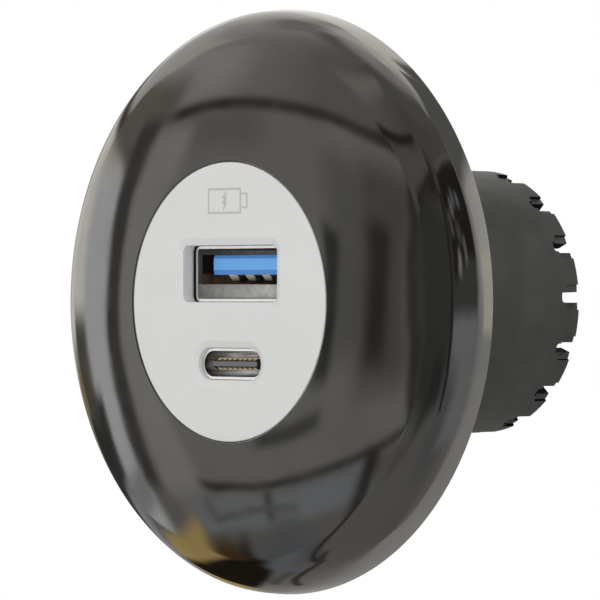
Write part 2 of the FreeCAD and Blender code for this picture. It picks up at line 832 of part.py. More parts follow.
def make_blades():
    """Tinned blade terminals for push-on connectors."""
    blades = []
    for x in (-blade_x, blade_x):
        tip_y = cover_back_y + blade_reach
        plate = block(blade_thickness, blade_width, power_board_back_y, tip_y, x, 0)
        tip = []
        for edge in plate.Edges:
            if all(abs(v.Y - tip_y) < 1e-6 for v in edge.Vertexes):
                tip.append(edge)
        plate = plate.makeChamfer(blade_thickness * 0.3, tip)
        pieces = [plate]
        for z in blade_leg_places():
            pieces.append(block(blade_thickness, blade_leg_width, power_board_y + fit_gap,
                                power_board_back_y, x, z))
        hole = Part.makeCylinder(blade_hole_radius, 2 * blade_thickness,
                                 V(x - blade_thickness, tip_y - blade_reach * 0.45, 0), V(1, 0, 0))
        blades.append(joined(pieces).cut(hole))
    return blades


def make_rear_cover():
    """End plate, snapped into the barrel, with a slot for each blade."""
    radius = barrel_bore - slip
    disc = tube(radius, 0, cover_front_y, cover_back_y)
    snap_y = (cover_front_y + cover_back_y) / 2
    bead = tube(barrel_bore + snap_height, radius - 1, snap_y - snap_width / 2, snap_y + snap_width / 2)
    cover = joined([disc, bead])
    for x in (-blade_x, blade_x):
        cover = cover.cut(block(blade_thickness + 2 * fit_gap, blade_width + 2 * fit_gap,
                                cover_front_y - 1, cover_back_y + 1, x, 0))
    return cover


parts = {
    "bezel": make_bezel(),
    "bezel_screws": make_bezel_screws(),
    "panel_gasket": make_gasket(),
    "barrel": make_barrel(),
    "fascia": make_fascia(),
    "socket_carrier": make_carrier(),
    "usb_a_shell": make_shell_a(),
    "usb_a_insulator": make_insulator_a(),
    "usb_a_tongue": make_tongue_a(),
    "usb_a_contacts": make_contacts_a(),
    "usb_a_legs": make_legs_a(),
    "usb_c_shell": make_shell_c(),
    "usb_c_body": make_body_c(),
    "usb_c_tongue": make_tongue_c(),
    "usb_c_upper_contacts": make_contacts_c(1),
    "usb_c_lower_contacts": make_contacts_c(-1),
    "port_board": make_port_board(),
    "charge_controllers": make_charge_controllers(),
    "board_standoffs": make_standoffs(),
    "board_screws": make_board_screws(),
    "link_header": make_link_header(),
    "link_pins": make_link_pins(),
    "power_board": make_power_board(),
    "inductor": make_inductor(),
    "inductor_leads": make_inductor_leads(),
    "input_capacitor": make_input_capacitor(),
    "output_capacitors": make_output_capacitors(),
    "buck_controller": make_buck_controller(),
    "power_transistors": make_power_transistors(),
    "fuse": make_fuse(),
    "blade_terminals": make_blades(),
    "rear_cover": make_rear_cover(),
}

os.makedirs("parts", exist_ok=True)
for name, shape in parts.items():
    if isinstance(shape, list):
        shape = Part.makeCompound(shape)
    shape.exportStep(os.path.join("parts", name + ".step"))
    print(name, len(shape.Solids), "solids", round(shape.Volume, 2), "mm3", shape.isValid())
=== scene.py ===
# %% [markdown]
# # A panel-mount charging socket, dressed for the camera
# The real object is a domed, dark plated ring round a pale face with two ports, on a dark barrel
# that goes through a panel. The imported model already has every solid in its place, in metres: the
# face looks towards -Y, the barrel runs back to +Y and Z is up. This lesson loads it as a fixed
# frame, then gives each visible part a finer mesh or a better finish, one step at a time.

# %% Load the frame
import bmesh
import bpy
import math
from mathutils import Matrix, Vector
from mathutils.geometry import tessellate_polygon


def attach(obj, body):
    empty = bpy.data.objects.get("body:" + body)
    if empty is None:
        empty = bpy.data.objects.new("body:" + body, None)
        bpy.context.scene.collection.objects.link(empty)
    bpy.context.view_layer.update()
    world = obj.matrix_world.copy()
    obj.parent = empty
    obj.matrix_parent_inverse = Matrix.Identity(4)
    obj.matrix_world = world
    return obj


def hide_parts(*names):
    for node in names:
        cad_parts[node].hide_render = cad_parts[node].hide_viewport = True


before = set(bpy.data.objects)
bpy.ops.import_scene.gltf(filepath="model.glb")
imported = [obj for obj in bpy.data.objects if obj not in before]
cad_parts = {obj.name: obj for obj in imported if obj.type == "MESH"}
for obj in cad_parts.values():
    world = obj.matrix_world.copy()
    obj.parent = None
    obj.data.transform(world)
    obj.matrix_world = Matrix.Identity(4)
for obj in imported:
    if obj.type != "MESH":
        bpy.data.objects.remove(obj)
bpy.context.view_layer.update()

# %% [markdown]
# Sizes are easier to read in millimetres, so every point is written in them and scaled once, when
# its mesh is made. The object stays at the origin, unturned, as the frame's own nodes do.

# %% Meshes from points
MM = 0.001


def new_object(name, data):
    """An object in the scene, at the origin."""
    made = bpy.data.objects.new(name, data)
    bpy.context.scene.collection.objects.link(made)
    return made


def new_piece(name, points, faces):
    """A mesh object from points in millimetres."""
    mesh = bpy.data.meshes.new(name)
    mesh.from_pydata([Vector(point) * MM for point in points], [], faces)
    return new_object(name, mesh)


def close_up(piece, sharp=30):
    """Merges doubles, turns faces outwards and smooths the shading between sharp edges."""
    work = bmesh.new()
    work.from_mesh(piece.data)
    bmesh.ops.remove_doubles(work, verts=work.verts, dist=1e-6)
    bmesh.ops.recalc_face_normals(work, faces=work.faces)
    work.to_mesh(piece.data)
    work.free()
    piece.data.shade_smooth()
    piece.data.set_sharp_from_angle(angle=math.radians(sharp))
    even = piece.modifiers.new("even shading", "WEIGHTED_NORMAL")
    even.keep_sharp = True
    print(piece.name, len(piece.data.polygons), "faces")


def put(tree, kind, inputs=None, **settings):
    """Adds a node. An input is either a value or the socket it is fed from."""
    node = tree.nodes.new(kind)
    for key, value in settings.items():
        setattr(node, key, value)
    for key, value in (inputs or {}).items():
        if isinstance(value, bpy.types.NodeSocket):
            tree.links.new(value, node.inputs[key])
        else:
            node.inputs[key].default_value = value
    return node


def math_of(tree, operation, *values):
    """One step of arithmetic in a node tree."""
    return put(tree, "ShaderNodeMath", dict(enumerate(values)), operation=operation).outputs[0]


# %% [markdown]
# ## Finishes
# Each finish is a small node tree on one Principled shader. Its patterns read Object coordinates,
# so that they stay fixed in the material when the object turns, and they are scaled to what the
# eye sees at this size: moulding grain of a tenth of a millimetre, stains of a millimetre or two.

# %% Shared parts of a finish
def new_finish(name, metallic=0.0, coat=0.0):
    """A material with a Principled shader, and the Object coordinates for its patterns."""
    material = bpy.data.materials.new(name)
    material.use_nodes = True
    tree = material.node_tree
    shader = tree.nodes["Principled BSDF"]
    shader.inputs["Metallic"].default_value = metallic
    shader.inputs["Coat Weight"].default_value = coat
    place = put(tree, "ShaderNodeTexCoord").outputs["Object"]
    print("finish", name)
    return material, tree, shader, place


def cloud(tree, place, size, detail=3.0, stretch=(1, 1, 1), roughness=0.55):
    """Soft noise with patches of about this size in millimetres."""
    scaled = put(tree, "ShaderNodeMapping", {"Vector": place, "Scale": stretch}).outputs[0]
    return put(tree, "ShaderNodeTexNoise", {"Vector": scaled, "Scale": 1 / (size * MM),
               "Detail": detail, "Roughness": roughness}).outputs["Fac"]


def spread(tree, value, low, high, start=0.3, stop=0.7, **settings):
    """Maps a pattern to a range of numbers."""
    return put(tree, "ShaderNodeMapRange", {"Value": value, "From Min": start, "From Max": stop,
               "To Min": low, "To Max": high}, **settings).outputs[0]


# %% Mixed colours
def blend_of(tree, pattern, first, second, start=0.35, stop=0.65):
    """Mixes two colours by a pattern."""
    ramp = put(tree, "ShaderNodeValToRGB", {"Fac": pattern})
    ramp.color_ramp.elements[0].position = start
    ramp.color_ramp.elements[0].color = (*first, 1)
    ramp.color_ramp.elements[1].position = stop
    ramp.color_ramp.elements[1].color = (*second, 1)
    return ramp.outputs["Color"]


def mix_colours(tree, first, second, share=1.0, **settings):
    """Mixes two colours, each given as three numbers or as the socket it comes from."""
    first, second = [(*colour, 1) if isinstance(colour, tuple) else colour
                     for colour in (first, second)]
    return put(tree, "ShaderNodeMix", {"Factor": share, 6: first, 7: second}, data_type="RGBA",
               **settings).outputs[2]


def along(tree, place, axis, first, second, start, stop):
    """Turns one colour into another along an axis, between two places in millimetres."""
    where = put(tree, "ShaderNodeSeparateXYZ", {0: place}).outputs["XYZ".index(axis)]
    return mix_colours(tree, first, second, spread(tree, where, 0.0, 1.0, start * MM, stop * MM))


def tinted(tree, colour, tint):
    """Multiplies a colour by another."""
    return mix_colours(tree, colour, tint, blend_type="MULTIPLY")


# %% Into the shader
def roughen(tree, shader, pattern, depth, strength=0.5):
    """Raises the surface by a pattern, with its depth in millimetres."""
    bump = put(tree, "ShaderNodeBump", {"Height": pattern, "Distance": depth * MM,
               "Strength": strength})
    tree.links.new(bump.outputs[0], shader.inputs["Normal"])


def connect(tree, shader, **sockets):
    """Feeds the shader's sockets; underscores in the names stand for spaces."""
    for name, source in sockets.items():
        tree.links.new(source, shader.inputs[name.replace("_", " ")])


# %% [markdown]
# The ring is plated: a smooth, dark mirror. Plating is never quite even, so the roughness
# wanders a little, and a very shallow swell in the bump lets the reflections flow like the real
# ones do. A metal has no colour of its own apart from what it reflects, so the tint is faint.

# %% Plated finishes
def plated(name, dark, light, low, high, swell=0.0004, metallic=1.0, rear=None):
    """Dark and light are mixed; rear is a colour further back, with where it starts and is full."""
    material, tree, shader, place = new_finish(name, metallic)
    stain = cloud(tree, place, 9.0)
    haze = cloud(tree, place, 3.0, 5.0)
    colour = blend_of(tree, stain, dark, light)
    if rear:
        colour = along(tree, place, "Y", colour, *rear)
    connect(tree, shader, Base_Color=colour, Roughness=spread(tree, haze, low, high))
    roughen(tree, shader, cloud(tree, place, 6.0, 1.0), swell)
    return material


ring_finish = plated("black_nickel", (0.345, 0.335, 0.318), (0.375, 0.365, 0.35), 0.045, 0.085)
gold_finish = plated("worn_gold", (0.7, 0.56, 0.3), (0.84, 0.72, 0.46), 0.3, 0.44, metallic=0.5)
# Painted shade: the strips are near black at the front and gold further back.
strip_painted_shade_finish = plated("gold_strip_painted_shade", (0.05, 0.03, 0.016), (0.07, 0.045, 0.024), 0.3, 0.44,
                      metallic=0.4, rear=((0.74, 0.6, 0.39), -6.42, -6.28))
# Painted shade: the springs are pale in front and near black further back.
spring_painted_shade_finish = plated("plated_spring_painted_shade", (0.86, 0.8, 0.64), (0.95, 0.91, 0.8), 0.26, 0.36,
                       metallic=0.5, rear=((0.009, 0.006, 0.004), -3.55, -2.85))
tin_finish = plated("tinned_brass", (0.5, 0.48, 0.42), (0.68, 0.66, 0.6), 0.25, 0.42,
                    metallic=0.6)
brass_finish = plated("turned_brass", (0.55, 0.4, 0.16), (0.66, 0.5, 0.24), 0.2, 0.34)
screw_finish = plated("zinc_steel", (0.42, 0.43, 0.45), (0.56, 0.57, 0.58), 0.24, 0.4)
can_finish = plated("brushed_can", (0.62, 0.62, 0.63), (0.74, 0.74, 0.74), 0.28, 0.42)


# %% [markdown]
# The port shells are drawn sheet steel. Inside they look mottled: rolling left fine streaks
# along the sheet, and handling left stains, so two clouds of different shape are mixed. The
# sheet is dull, so it is only part metal to the shader. Light gathers in the depth, where the
# walls reflect each other, so painted light darkens the colour near the mouth and lightens it
# towards the back. In the wide shell a painted reflection of the dark block beside it darkens
# the upper wall. The sheared front edge is pale, with painted shade on its left side.

# %% Drawn steel
def drawn_steel(name, dark, light, streaked, metallic, near=(1, 1, 1), depths=(0, 1),
                upper=(1, 1, 1), level=0):
    """Near is a tint of painted shade at the first of two depths, fading out at the second, and
    upper a tint of painted reflection above a level.
    """
    material, tree, shader, place = new_finish(name, metallic)
    stain = cloud(tree, place, 0.9, 6.0, roughness=0.65)
    streak = cloud(tree, place, 0.45, 4.0, stretch=(1, 0.12, 1))
    both = math_of(tree, "ADD", math_of(tree, "MULTIPLY", stain, 1 - streaked),
                   math_of(tree, "MULTIPLY", streak, streaked))
    colour = blend_of(tree, both, dark, light, 0.34, 0.66)
    # Painted light and shade: darker near the mouth, lighter towards the back; painted reflection:
    # darker above the level.
    colour = tinted(tree, colour, along(tree, place, "Y", near, (1, 1, 1), *depths))
    colour = tinted(tree, colour, along(tree, place, "Z", (1, 1, 1), upper, level, level + 0.15))
    connect(tree, shader, Base_Color=colour, Roughness=spread(tree, stain, 0.34, 0.52))
    roughen(tree, shader, streak, 0.003, 0.4)
    return material


# The wide shell: painted shade near its mouth and a painted reflection of the dark block above 1.75
# mm.
steel_finish = drawn_steel("drawn_steel", (0.42, 0.41, 0.385), (0.68, 0.675, 0.66), 0.25, 0.1,
                           near=(0.18, 0.18, 0.165), depths=(-5.8, 4.5), upper=(0.22, 0.22, 0.22),
                           level=1.75)
# The narrow shell: painted shade near its mouth.
narrow_steel_finish = drawn_steel("narrow_drawn_steel", (0.16, 0.13, 0.1), (1.0, 0.99, 0.97), 0.85,
                                  0.2, near=(0.03, 0.025, 0.02), depths=(-6.5, 0.0))


def sheared_lip(name, shaded, lit):
    """A pale sheared edge with painted shade on its left side, which lies in the mouth's shade,
    between two places in x.
    """
    shade = (0.4, 0.4, 0.4)
    material, tree, shader, place = new_finish(name)
    nick = cloud(tree, place, 0.35, 4.0)
    colour = blend_of(tree, nick, (0.47, 0.47, 0.46), (0.53, 0.53, 0.52))
    colour = tinted(tree, colour, along(tree, place, "X", shade, (1, 1, 1), shaded, lit))
    connect(tree, shader, Base_Color=colour, Roughness=spread(tree, nick, 0.4, 0.55))
    roughen(tree, shader, nick, 0.002)
    return material


# Each lip gets painted shade on its left side.
wide_lip_finish = sheared_lip("wide_sheared_lip", -6.35, -5.9)
narrow_lip_finish = sheared_lip("narrow_sheared_lip", -4.6, -3.3)


# %% [markdown]
# Moulded plastic is told by its gloss and its grain. The face is smooth and satin; the barrel
# has a fine spark-eroded grain that breaks its highlights up; foam has open pores. The side
# walls of the notches in the barrel and of the narrow tongue lie in deep shade, so they are
# painted darker than the rest, as painted shade.

# %% Plastics
def plastic(name, base, shift, gloss, grain=0.12, depth=0.004, cloud_size=5.0, shine=0.5):
    """Shift is how far the base colour wanders; gloss is a low and a high roughness."""
    material, tree, shader, place = new_finish(name)
    patch = cloud(tree, place, cloud_size, 4.0)
    darker = tuple(channel * (1 - shift) for channel in base)
    lighter = tuple(min(1.0, channel * (1 + shift)) for channel in base)
    texture = cloud(tree, place, grain, 2.0)
    connect(tree, shader, Base_Color=blend_of(tree, patch, darker, lighter),
            Roughness=spread(tree, texture, *gloss))
    shader.inputs["Specular IOR Level"].default_value = shine
    roughen(tree, shader, texture, depth)
    return material


face_finish = plastic("pale_face", (0.7, 0.7, 0.692), 0.012, (0.38, 0.46), 0.15, 0.0012, 8.0)
barrel_finish = plastic("grained_barrel", (0.046, 0.046, 0.043), 0.14, (0.42, 0.56), 0.1, 0.01,
                        shine=0.25)
# Painted shade: a near-black finish for the side walls of the barrel's notches.
notch_painted_shade_finish = plastic("notch_wall_painted_shade", (0.003, 0.003, 0.003), 0.1, (0.65, 0.8), 0.1, 0.01,
                       shine=0.05)
cover_finish = plastic("black_cover", (0.02, 0.02, 0.02), 0.12, (0.44, 0.58), 0.12, 0.01)
carrier_finish = plastic("dark_carrier", (0.03, 0.03, 0.032), 0.1, (0.45, 0.58), 0.15, 0.006)
black_finish = plastic("black_block", (0.004, 0.004, 0.004), 0.15, (0.6, 0.72), 0.1, 0.004)
blue_finish = plastic("blue_tongue", (0.091, 0.258, 0.52), 0.03, (0.42, 0.52), 0.12, 0.002)
# Painted shade: a deeper copy of the tongue's blue for its front edges.
blue_edge_painted_shade_finish = plastic("blue_tongue_edge_painted_shade", (0.05, 0.157, 0.385), 0.03, (0.5, 0.6), 0.12,
                           0.002)
grey_finish = plastic("grey_tongue", (0.085, 0.085, 0.087), 0.08, (0.5, 0.6), 0.1, 0.002)
# Painted shade: a near-black copy of the grey for the narrow tongue's sides.
grey_side_painted_shade_finish = plastic("grey_tongue_side_painted_shade", (0.005, 0.004, 0.004), 0.2, (0.55, 0.7), 0.1,
                           0.002)
chip_finish = plastic("chip_case", (0.022, 0.022, 0.024), 0.15, (0.5, 0.64), 0.08, 0.006)
ferrite_finish = plastic("pressed_ferrite", (0.06, 0.06, 0.064), 0.25, (0.5, 0.72), 0.18,
                         0.015, 0.6)
ceramic_finish = plastic("fuse_ceramic", (0.62, 0.6, 0.52), 0.05, (0.4, 0.55), 0.1, 0.004)
sign_finish = plastic("sign_ink", (0.5, 0.495, 0.465), 0.03, (0.5, 0.6), 0.08, 0.001)
foam_finish = plastic("closed_foam", (0.028, 0.028, 0.028), 0.3, (0.75, 0.9), 0.3, 0.06, 0.5)


# %% [markdown]
# The block behind the blue tongue is black plastic, painted darker still as painted shade, and
# below a level its foot is a dark brown. Almost no light gets back out of that corner, so it has
# hardly any shine.

# %% Block with painted shade
def block_with_painted_shade():
    material, tree, shader, place = new_finish("block_with_painted_shade")
    patch = cloud(tree, place, 0.8, 4.0)
    foot = blend_of(tree, patch, (0.012, 0.007, 0.004), (0.036, 0.022, 0.013))
    # Dark brown below 2.7 mm; above 3 mm the block is painted near black as painted shade.
    colour = along(tree, place, "Z", foot, (0.0016, 0.0013, 0.0011), 2.7, 3.0)
    connect(tree, shader, Base_Color=colour, Roughness=spread(tree, patch, 0.7, 0.9))
    shader.inputs["Specular IOR Level"].default_value = 0.08
    roughen(tree, shader, patch, 0.004)
    return material


block_finish = block_with_painted_shade()

# %% [markdown]
# A circuit board is glass cloth under a green lacquer. A grid of lighter lines at the pitch of
# the copper tracks shows through the lacquer.

# %% Circuit board
def board_lacquer():
    material, tree, shader, place = new_finish("green_board", 0.0, 0.3)
    tracks = put(tree, "ShaderNodeTexBrick", {"Vector": put(tree, "ShaderNodeMapping", {
        "Vector": place, "Rotation": (math.pi / 2, 0, 0)}).outputs[0], "Scale": 1 / (2.4 * MM),
        "Mortar Size": 0.02, "Color1": (0.008, 0.055, 0.02, 1), "Color2": (0.01, 0.07, 0.026, 1),
        "Mortar": (0.03, 0.15, 0.055, 1)})
    connect(tree, shader, Base_Color=tracks.outputs["Color"],
            Roughness=spread(tree, cloud(tree, place, 0.8), 0.28, 0.42))
    roughen(tree, shader, tracks.outputs["Fac"], 0.01)
    return material


board_finish = board_lacquer()

# %% [markdown]
# ## Turned parts
# The ring, barrel, gasket and cover are round, so their whole shape is one section turned round
# the axis. Geometry Nodes can do that with exact control: a grid has one row for each step of the
# turn and one column for each point of the section, and every grid point takes the place of its
# section point, turned about Y. The seam is then merged, so that the piece is closed.

# %% The start and end of a tree
def new_tree(name, **inputs):
    """A geometry tree with an input of each name and kind, and the sockets that give them."""
    tree = bpy.data.node_groups.new(name, "GeometryNodeTree")
    for label, kind in inputs.items():
        tree.interface.new_socket(label, in_out="INPUT", socket_type="NodeSocket" + kind)
    tree.interface.new_socket("Geometry", in_out="OUTPUT", socket_type="NodeSocketGeometry")
    return tree, put(tree, "NodeGroupInput").outputs


def end_tree(tree, geometry, finish):
    """Ends a tree in real geometry with its finish."""
    real = put(tree, "GeometryNodeRealizeInstances", {"Geometry": geometry})
    painted = put(tree, "GeometryNodeSetMaterial", {"Geometry": real.outputs[0],
                  "Material": finish})
    put(tree, "NodeGroupOutput", {"Geometry": painted.outputs[0]})
    return tree


# %% The turning tree
def turning_tree():
    tree, given = new_tree("turned section", Section="Geometry", Steps="Int", Finish="Material")
    count = put(tree, "GeometryNodeAttributeDomainSize", {"Geometry": given["Section"]})
    rows = math_of(tree, "ADD", given["Steps"], 1)
    grid = put(tree, "GeometryNodeMeshGrid", {"Vertices X": count.outputs["Point Count"],
                                              "Vertices Y": rows})
    index = put(tree, "GeometryNodeInputIndex").outputs[0]
    column = math_of(tree, "FLOOR", math_of(tree, "DIVIDE", math_of(tree, "ADD", index, 0.5), rows))
    row = math_of(tree, "SUBTRACT", index, math_of(tree, "MULTIPLY", column, rows))
    sample = put(tree, "GeometryNodeSampleIndex", {"Geometry": given["Section"], "Index": column,
                 "Value": put(tree, "GeometryNodeInputPosition").outputs[0]},
                 data_type="FLOAT_VECTOR")
    turn = math_of(tree, "DIVIDE", math_of(tree, "MULTIPLY", row, math.tau), given["Steps"])
    place = put(tree, "ShaderNodeVectorRotate", {"Vector": sample.outputs[0], "Angle": turn},
                rotation_type="Y_AXIS")
    moved = put(tree, "GeometryNodeSetPosition", {"Geometry": grid.outputs["Mesh"],
                "Position": place.outputs[0]})
    merged = put(tree, "GeometryNodeMergeByDistance", {"Geometry": moved.outputs[0],
                 "Distance": 1e-6})
    return end_tree(tree, merged.outputs[0], given["Finish"])


# %% From tree to plain mesh
def grow(piece, tree, **sizes):
    """Runs a tree on a piece and keeps the result as its plain mesh."""
    modifier = piece.modifiers.new(tree.name, "NODES")
    modifier.node_group = tree
    for item in tree.interface.items_tree:
        if item.in_out == "INPUT" and item.name in sizes:
            modifier[item.identifier] = sizes[item.name]
    ready = piece.evaluated_get(bpy.context.evaluated_depsgraph_get())
    plain = bpy.data.meshes.new_from_object(ready)
    piece.modifiers.remove(modifier)
    piece.data = plain
    return piece


turning = turning_tree()


def turned(name, section, finish, steps=256, sharp=30):
    """A round piece from a closed section of (radius, y) points."""
    loop = list(section) + [section[0]]
    piece = new_piece(name, [(radius, y, 0) for radius, y in loop], [])
    grow(piece, turning, Steps=steps, Finish=finish)
    close_up(piece, sharp)
    return piece


# %% [markdown]
# Sections are drawn from corners and arcs. Real edges are never knife-sharp, and their small
# rounding catches a thin highlight, so each corner may be given a radius.

# %% Drawing sections
def arc(centre, radius, start, stop, steps):
    """Points on an arc; angles are in degrees, from the first axis towards the second."""
    turns = [math.radians(start + (stop - start) * step / steps) for step in range(steps + 1)]
    return [(centre[0] + radius * math.cos(t), centre[1] + radius * math.sin(t)) for t in turns]


def eased(corners, steps=4):
    """A closed line through (a, b, radius) corners, with each corner rounded."""
    line = []
    for index, (a, b, radius) in enumerate(corners):
        here = Vector((a, b))
        before = (Vector(corners[index - 1][:2]) - here).normalized()
        after = (Vector(corners[(index + 1) % len(corners)][:2]) - here).normalized()
        if radius == 0:
            line.append((a, b))
            continue
        half = before.angle(after) / 2
        centre = here + (before + after).normalized() * (radius / math.sin(half))
        start = here + before * (radius / math.tan(half)) - centre
        stop = here + after * (radius / math.tan(half)) - centre
        first = math.atan2(start.y, start.x)
        sweep = math.remainder(math.atan2(stop.y, stop.x) - first, math.tau)
        line += arc(centre, radius, math.degrees(first), math.degrees(first + sweep), steps)
    return line


# %% [markdown]
# ### The trim ring
# The ring's crown is one wide arc that leaves the bore at a gentle slope, and its shoulder is a
# tighter arc that falls to a crease above an upright edge band. Two circles that touch share a
# tangent, which is what makes the reflections run over the join without a kink. The crease is
# polished round, so a short bend takes the place of its corner.

# %% Trim ring sizes
ring_radius, ring_height, ring_wall = 30.0, 7.6, 1.5
rim_line = [(29.97, 0.12), (29.93, 0.03), (29.86, 0.0), (ring_radius - ring_wall, 0.0)]
ring_bore, collar_radius, collar_back = 14.25, 15.65, -2.9
crown_slope, crown_radius, shoulder_radius = 5.0, 55.0, 6.0
crease_radius, crease_height, lip_ease = 29.8, 1.7, 0.16
crease_before, crease_after, crease_steps = 0.45, 0.8, 12


def ring_arcs():
    """Centres of crown and shoulder, and the angles where they meet and end."""
    slope = math.radians(crown_slope)
    upward = Vector((math.sin(slope), math.cos(slope)))
    crown = Vector((ring_bore, ring_height)) - upward * crown_radius
    crease = Vector((crease_radius, crease_height))
    near = crown_radius - shoulder_radius
    span = crease - crown
    reach = (span.length ** 2 + near ** 2 - shoulder_radius ** 2) / (2 * span.length)
    aside = math.sqrt(near ** 2 - reach ** 2)
    ahead = span.normalized()
    shoulder = crown + ahead * reach + Vector((-ahead.y, ahead.x)) * aside
    meet = math.degrees(math.atan2(shoulder.y - crown.y, shoulder.x - crown.x))
    end = math.degrees(math.atan2(crease.y - shoulder.y, crease.x - shoulder.x))
    return crown, shoulder, meet, end


def crease_bend(start):
    """A curve from a point before the crease to one on the edge band below it."""
    corner = Vector((crease_radius, crease_height))
    stop = corner + (Vector(rim_line[0]) - corner).normalized() * crease_after
    bend = []
    for step in range(1, crease_steps + 1):
        t = step / crease_steps
        bend.append(tuple(start * (1 - t) ** 2 + corner * 2 * t * (1 - t) + stop * t * t))
    return bend


def ring_section():
    crown, shoulder, meet, end = ring_arcs()
    lip = 90 - crown_slope - math.degrees(lip_ease / crown_radius)
    cut = end + math.degrees(crease_before / shoulder_radius)
    outer = arc(crown, crown_radius, lip, meet, 40)
    outer += arc(shoulder, shoulder_radius, meet, cut, 40)[1:]
    outer += crease_bend(Vector(outer[-1]))
    inner = arc(shoulder, shoulder_radius - ring_wall, end, meet, 16)
    rise = math.degrees(math.acos((collar_radius - crown.x) / (crown_radius - ring_wall)))
    inner += arc(crown, crown_radius - ring_wall, meet, rise, 16)[1:]
    collar = [(collar_radius, -collar_back), (ring_bore, -collar_back),
              (ring_bore, ring_height - lip_ease)]
    collar += arc((ring_bore + lip_ease, ring_height - lip_ease), lip_ease, 180, 95, 5)[1:]
    return [(radius, -height) for radius, height in outer + rim_line + inner + collar]


trim_ring = turned("trim_ring", ring_section(), ring_finish, steps=320, sharp=32)
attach(trim_ring, "housing")
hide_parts("bezel")

# %% [markdown]
# ### The barrel
# The barrel is turned too, with its hidden flange and neck. Its rear rim has sixteen slots, each
# in the middle of a wider, shallow pocket. One cutter is drawn for each kind, a tree sets copies
# of it round the axis, and a boolean takes them all out of the turned barrel at once.

# %% Slots round the rim
barrel_radius, barrel_bore, barrel_end = 14.0, 12.3, 30.0
slot_count, slot_turn, slot_ease = 16, 2.0, 0.33
slot_width, slot_depth, slot_inner = 1.1, 2.7, 11.3
pocket_width, pocket_depth, pocket_inner = 2.65, 2.1, 13.6


def rim_tree():
    tree, given = new_tree("slotted rim", Geometry="Geometry", Cutter="Object", Count="Int",
                           First="Float", Finish="Material")
    cutter = put(tree, "GeometryNodeObjectInfo", {"Object": given["Cutter"]})
    points = put(tree, "GeometryNodePoints", {"Count": given["Count"]})
    index = put(tree, "GeometryNodeInputIndex").outputs[0]
    share = math_of(tree, "DIVIDE", index, given["Count"])
    turn = math_of(tree, "ADD", math_of(tree, "MULTIPLY", share, -math.tau), given["First"])
    spin = put(tree, "ShaderNodeCombineXYZ", {"Y": turn})
    row = put(tree, "GeometryNodeInstanceOnPoints", {"Points": points.outputs[0],
              "Instance": cutter.outputs["Geometry"], "Rotation": spin.outputs[0]})
    real = put(tree, "GeometryNodeRealizeInstances", {"Geometry": row.outputs[0]})
    cut = put(tree, "GeometryNodeMeshBoolean", {"Mesh 1": given["Geometry"],
              "Mesh 2": real.outputs[0], "Self Intersection": True}, operation="DIFFERENCE",
              solver="EXACT")
    return end_tree(tree, cut.outputs["Mesh"], given["Finish"])


# %% Walls from loops
def walled(name, walls, flat_ends=True):
    """A piece from walls of loops, front to back: the first wall is outside, the rest are holes."""
    points, faces, starts = [], [], []
    for wall in walls:
        size, start = len(wall[0]), len(points)
        starts.append(start)
        for loop in wall:
            points += loop
        for level in range(len(wall) - 1):
            for step in range(size):
                here = start + level * size + step
                beside = start + level * size + (step + 1) % size
                faces.append((here, beside, beside + size, here + size))
    for end in ((0, -1) if flat_ends else ()):
        loops = [wall[end] for wall in walls]
        names = []
        for wall, start in zip(walls, starts):
            first = start + (len(wall) - 1) * len(wall[0]) * (end == -1)
            names += range(first, first + len(wall[0]))
        for corner in tessellate_polygon([[Vector(point) for point in loop] for loop in loops]):
            faces.append(tuple(names[place] for place in corner))
    return new_piece(name, points, faces)


# %% Notches and the barrel's section
def notch_loops(width, depth, inner):
    """A notch open at the rear rim, from a radius outwards, on the +X side."""
    front, back, half = barrel_end - depth, barrel_end + 1, width / 2
    flat = eased([(front, half, slot_ease), (back, half, 0), (back, -half, 0),
                  (front, -half, slot_ease)], 5)
    return [[(radius, y, z) for y, z in flat] for radius in (inner, barrel_radius + 2)]


neck_bore, neck_radius, neck_front, neck_seat = 11.4, 13.9, -5.4, -4.4
flange_radius, flange_front, flange_back, boss_radius = 26.5, -2.9, -0.9, 14.4
groove_radius, groove_front, groove_back = 12.5, 26.05, 26.75
barrel_section = eased([
    (neck_bore, neck_front, 0), (neck_radius, neck_front, 0), (neck_radius, flange_front, 0),
    (flange_radius, flange_front, 0), (flange_radius, flange_back, 0),
    (boss_radius, flange_back, 0), (boss_radius, 0.0, 0.1), (barrel_radius, 0.0, 0),
    (barrel_radius, barrel_end, 0.22), (barrel_bore, barrel_end, 0.15),
    (barrel_bore, groove_back, 0), (groove_radius, groove_back, 0),
    (groove_radius, groove_front, 0), (barrel_bore, groove_front, 0),
    (barrel_bore, neck_seat, 0), (neck_bore, neck_seat, 0)])

# %% The barrel, turned and slotted
barrel = turned("barrel_shell", barrel_section, barrel_finish, steps=192)
cutters = [walled("slot_cutter", [notch_loops(slot_width, slot_depth, slot_inner)]),
           walled("pocket_cutter", [notch_loops(pocket_width, pocket_depth, pocket_inner)])]
slotting = rim_tree()
barrel.modifiers.clear()
for cutter in cutters:
    close_up(cutter)
    grow(barrel, slotting, Cutter=cutter, Count=slot_count, First=-math.radians(slot_turn),
         Finish=barrel_finish)
    bpy.data.objects.remove(cutter)
barrel.data.materials.clear()
for finish in (barrel_finish, notch_painted_shade_finish):
    barrel.data.materials.append(finish)
# Painted shade: the notches' side walls get the near-black notch finish.
for face in barrel.data.polygons:
    middle, normal = face.center / MM, face.normal
    aside = abs(normal.x * middle.z - normal.z * middle.x) / math.hypot(middle.x, middle.z)
    in_notch = middle.y > barrel_end - slot_depth - 0.1
    face.material_index = int(in_notch and aside > 0.5)
close_up(barrel)
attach(barrel, "housing")
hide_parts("barrel")

